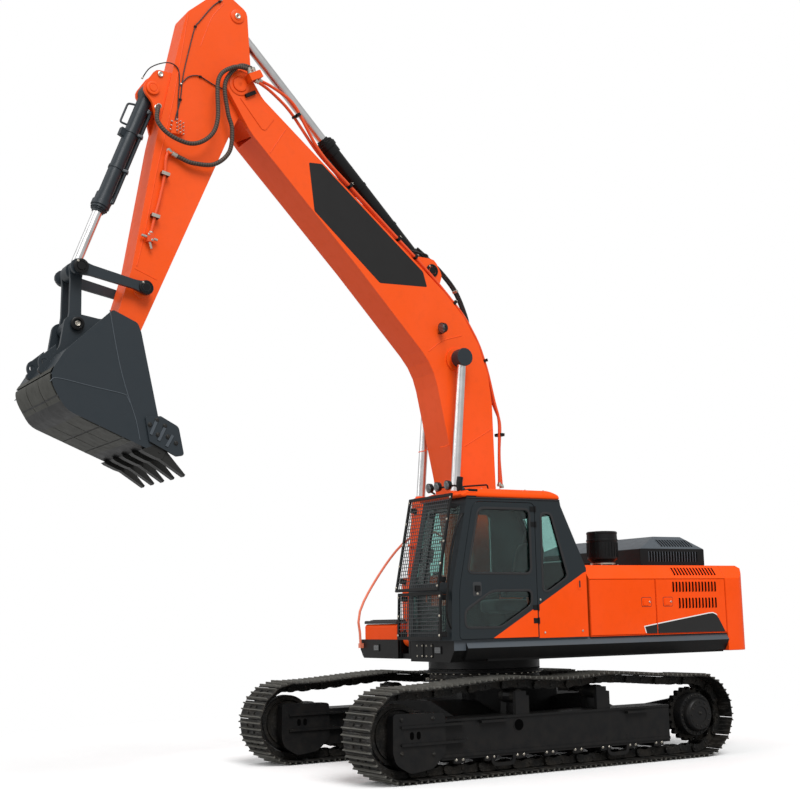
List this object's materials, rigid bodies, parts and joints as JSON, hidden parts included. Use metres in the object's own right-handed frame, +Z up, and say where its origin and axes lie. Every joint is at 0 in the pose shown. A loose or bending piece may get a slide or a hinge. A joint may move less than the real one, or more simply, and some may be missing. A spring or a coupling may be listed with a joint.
{
  "type": "crawler excavator",
  "caption": "Tracked hydraulic excavator with a cab, a one-piece boom raised high, a hanging arm and a toothed bucket, moved by hydraulic cylinders.",
  "frame": {"origin": "centre of the bounding box at ground level, at rest", "axes": "+Z up, -Y towards the bucket, +X towards the cab side, which is the left of the machine"},
  "size_m": [3.28, 9.192, 9.2843],
  "materials": {
    "orange_paint": "weathered gloss orange paint",
    "slate_paint": "weathered satin dark blue-grey paint",
    "black_paint": "satin black paint",
    "worn_steel": "worn and dusty dark steel",
    "engine_iron": "painted iron",
    "chrome_rod": "polished hard chrome",
    "green_glass": "green tinted",
    "seat_fabric": "woven",
    "dark_plastic": "textured",
    "hose_rubber": "spiral wrapped"
  },
  "bodies": {
    "undercarriage": {"track_left": "worn_steel", "track_right": "worn_steel", "idler_left": "worn_steel", "idler_right": "worn_steel", "sprocket_left": "worn_steel", "sprocket_right": "worn_steel", "track_frame_left": "slate_paint", "track_frame_right": "slate_paint", "lower_frame": "slate_paint", "swing_bearing": "black_paint"},
    "upper_structure": {"deck_frame": "black_paint", "counterweight": "orange_paint", "engine_block": "engine_iron", "left_house": "orange_paint", "rear_house": "orange_paint", "fuel_tank": "orange_paint", "hydraulic_tank": "orange_paint", "tool_box": "orange_paint", "pre_cleaner": "black_paint", "right_handrail": "orange_paint", "cab_shell": "slate_paint", "cab_roof": "orange_paint", "windscreen_upper": "green_glass", "windscreen_lower": "green_glass", "cab_rear_window": "green_glass", "cab_right_window": "green_glass", "cab_quarter_window": "green_glass", "operator_seat": "seat_fabric", "control_console": "dark_plastic", "front_guard_upper": "black_paint", "front_guard_lower": "black_paint"},
    "cab_door": {"cab_door": "slate_paint", "door_window_upper": "green_glass", "door_window_lower": "green_glass"},
    "left_front_door": {"left_front_door": "orange_paint"},
    "left_rear_door": {"left_rear_door": "orange_paint"},
    "right_rear_door": {"right_rear_door": "orange_paint"},
    "engine_hood": {"engine_hood": "black_paint"},
    "tool_box_lid": {"tool_box_lid": "orange_paint"},
    "boom": {"boom": "orange_paint", "boom_hose_left": "hose_rubber", "boom_hose_right": "hose_rubber"},
    "arm": {"arm": "orange_paint"},
    "bucket": {"bucket": "slate_paint"},
    "bucket_link": {"bucket_link": "slate_paint"},
    "rocker_links": {"rocker_links": "slate_paint"},
    "boom_cylinder_left_barrel": {"boom_cylinder_left_barrel": "orange_paint"},
    "boom_cylinder_left_rod": {"boom_cylinder_left_rod": "chrome_rod"},
    "boom_cylinder_right_barrel": {"boom_cylinder_right_barrel": "orange_paint"},
    "boom_cylinder_right_rod": {"boom_cylinder_right_rod": "chrome_rod"},
    "arm_cylinder_barrel": {"arm_cylinder_barrel": "black_paint"},
    "arm_cylinder_rod": {"arm_cylinder_rod": "chrome_rod"},
    "bucket_cylinder_barrel": {"bucket_cylinder_barrel": "slate_paint"},
    "bucket_cylinder_rod": {"bucket_cylinder_rod": "chrome_rod"}
  },
  "joints": [
    {"name": "swing", "type": "hinge", "parent": "undercarriage", "child": "upper_structure", "pos_m": [0, 1.21003, 1.13], "axis": [0, 0, 1], "continuous": true},
    {"name": "boom_lift", "type": "hinge", "parent": "upper_structure", "child": "boom", "pos_m": [0, 1.11003, 2.05], "axis": [1, 0, 0], "range_deg": [-2, 100]},
    {"name": "arm_reach", "type": "hinge", "parent": "boom", "child": "arm", "pos_m": [0, -2.26027, 8.10524], "axis": [-1, 0, 0], "range_deg": [-20, 95], "deforming": ["boom_hose_left", "boom_hose_right"]},
    {"name": "bucket_tilt", "type": "hinge", "parent": "arm", "child": "bucket", "pos_m": [0, -3.60834, 4.94473], "axis": [-1, 0, 0], "range_deg": [-110, 55]},
    {"name": "boom_cylinder_left_swing", "type": "hinge", "parent": "upper_structure", "child": "boom_cylinder_left_barrel", "pos_m": [0, 0.41003, 1.5], "axis": [1, 0, 0], "range_deg": [-2.58, 104.58]},
    {"name": "boom_cylinder_left_stroke", "type": "slide", "parent": "boom_cylinder_left_barrel", "child": "boom_cylinder_left_rod", "axis": [0, 0.0935, 0.9956], "range_m": [-1.3527, 0.03]},
    {"name": "boom_cylinder_right_swing", "type": "hinge", "parent": "upper_structure", "child": "boom_cylinder_right_barrel", "pos_m": [0, 0.41003, 1.5], "axis": [1, 0, 0], "range_deg": [-2.58, 104.58]},
    {"name": "boom_cylinder_right_stroke", "type": "slide", "parent": "boom_cylinder_right_barrel", "child": "boom_cylinder_right_rod", "axis": [0, 0.0935, 0.9956], "range_m": [-1.3527, 0.03]},
    {"name": "arm_cylinder_swing", "type": "hinge", "parent": "boom", "child": "arm_cylinder_barrel", "pos_m": [0, 0.47156, 6.15803], "axis": [-1, 0, 0], "range_deg": [-1.29, 0.67]},
    {"name": "arm_cylinder_stroke", "type": "slide", "parent": "arm_cylinder_barrel", "child": "arm_cylinder_rod", "axis": [0, -0.6917, 0.7222], "range_m": [-1.3299, 0.2824]},
    {"name": "rocker_swing", "type": "hinge", "parent": "arm", "child": "rocker_links", "pos_m": [0, -3.42935, 5.46633], "axis": [-1, 0, 0], "range_deg": [-65.81, 33.16]},
    {"name": "link_swing", "type": "hinge", "parent": "bucket", "child": "bucket_link", "pos_m": [0, -4.18834, 4.98473], "axis": [-1, 0, 0], "range_deg": [-33.56, 66.62]},
    {"name": "bucket_cylinder_swing", "type": "hinge", "parent": "arm", "child": "bucket_cylinder_barrel", "pos_m": [0, -3.31364, 7.89137], "axis": [-1, 0, 0], "range_deg": [-10.82, 5.66]},
    {"name": "bucket_cylinder_stroke", "type": "slide", "parent": "bucket_cylinder_barrel", "child": "bucket_cylinder_rod", "axis": [0, -0.3557, -0.9346], "range_m": [-0.3339, 0.6647]},
    {"name": "cab_door_hinge", "type": "hinge", "parent": "upper_structure", "child": "cab_door", "pos_m": [1.49, 0.99503, 2.3], "axis": [0, 0, 1], "range_deg": [0, 165]},
    {"name": "left_front_door_hinge", "type": "hinge", "parent": "upper_structure", "child": "left_front_door", "pos_m": [1.49, 1.75503, 1.84], "axis": [0, 0, 1], "range_deg": [-100, 0]},
    {"name": "left_rear_door_hinge", "type": "hinge", "parent": "upper_structure", "child": "left_rear_door", "pos_m": [1.49, 3.99503, 1.84], "axis": [0, 0, 1], "range_deg": [0, 110]},
    {"name": "right_rear_door_hinge", "type": "hinge", "parent": "upper_structure", "child": "right_rear_door", "pos_m": [-1.49, 3.99503, 1.84], "axis": [0, 0, -1], "range_deg": [0, 110]},
    {"name": "engine_hood_hinge", "type": "hinge", "parent": "upper_structure", "child": "engine_hood", "pos_m": [0, 2.85003, 2.352], "axis": [-1, 0, 0], "range_deg": [-60, 0]},
    {"name": "tool_box_lid_hinge", "type": "hinge", "parent": "upper_structure", "child": "tool_box_lid", "pos_m": [0, 0.90003, 1.734], "axis": [1, 0, 0], "range_deg": [-80, 0]}
  ],
  "couplings": [
    {"joint": "boom_cylinder_left_swing", "follows": "boom_lift", "ratio": 1.0408},
    {"joint": "boom_cylinder_left_stroke", "follows": "boom_lift", "m_per_rad": -0.77333},
    {"joint": "boom_cylinder_right_swing", "follows": "boom_lift", "ratio": 1.0408},
    {"joint": "boom_cylinder_right_stroke", "follows": "boom_lift", "m_per_rad": -0.77333},
    {"joint": "arm_cylinder_swing", "follows": "arm_reach", "ratio": -0.00832},
    {"joint": "arm_cylinder_stroke", "follows": "arm_reach", "m_per_rad": -0.80029},
    {"joint": "rocker_swing", "follows": "bucket_tilt", "ratio": 0.59373},
    {"joint": "link_swing", "follows": "bucket_tilt", "ratio": -0.60112},
    {"joint": "bucket_cylinder_swing", "follows": "bucket_tilt", "ratio": 0.09379},
    {"joint": "bucket_cylinder_stroke", "follows": "bucket_tilt", "m_per_rad": -0.34467}
  ]
}
